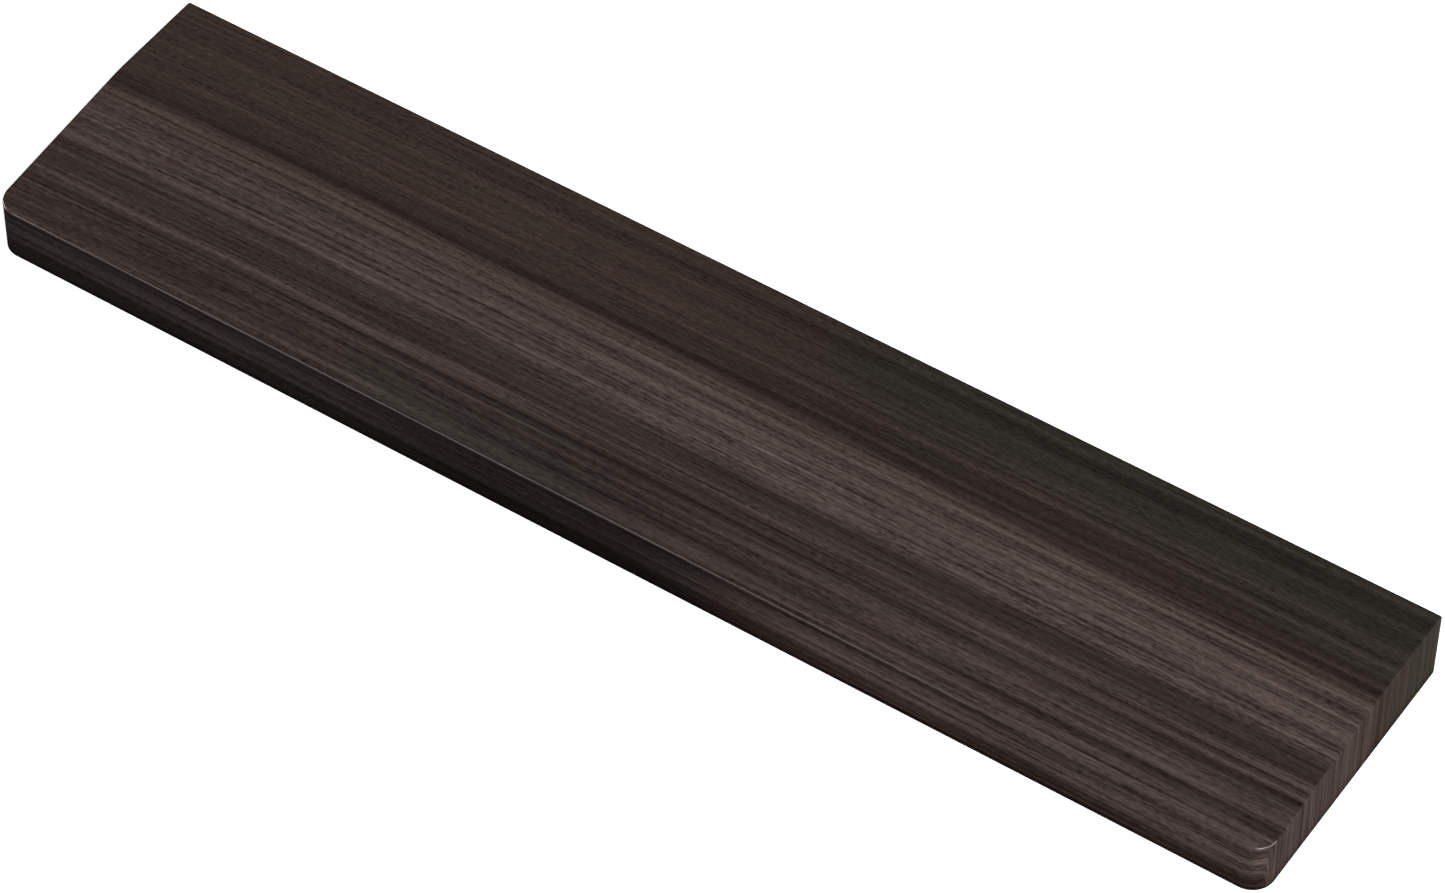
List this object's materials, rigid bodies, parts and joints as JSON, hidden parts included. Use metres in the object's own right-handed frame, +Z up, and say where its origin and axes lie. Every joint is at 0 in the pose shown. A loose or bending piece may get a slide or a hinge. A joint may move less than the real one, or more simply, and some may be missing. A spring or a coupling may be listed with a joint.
{
  "type": "wrist rest",
  "caption": "Dark wooden bar with a flat land along the back and a gentle slope to its front, on rubber feet, for resting the wrists in front of a compact keyboard.",
  "frame": {"origin": "on the surface that the feet stand on, below the middle of the bar", "axes": "+X to the right along the bar, +Y towards the keyboard, +Z up"},
  "size_m": [0.36, 0.08, 0.0212],
  "materials": {
    "dark_wood": "fine-grained dark walnut brown, smooth satin lacquer",
    "black_rubber": "matt moulded rubber",
    "adhesive": "thin translucent acrylic foam"
  },
  "bodies": {
    "root": {"wooden_bar": "dark_wood", "foot_front_left": "black_rubber", "foot_front_middle": "black_rubber", "foot_front_right": "black_rubber", "foot_back_left": "black_rubber", "foot_back_middle": "black_rubber", "foot_back_right": "black_rubber", "adhesive_front_left": "adhesive", "adhesive_front_middle": "adhesive", "adhesive_front_right": "adhesive", "adhesive_back_left": "adhesive", "adhesive_back_middle": "adhesive", "adhesive_back_right": "adhesive"}
  },
  "joints": []
}
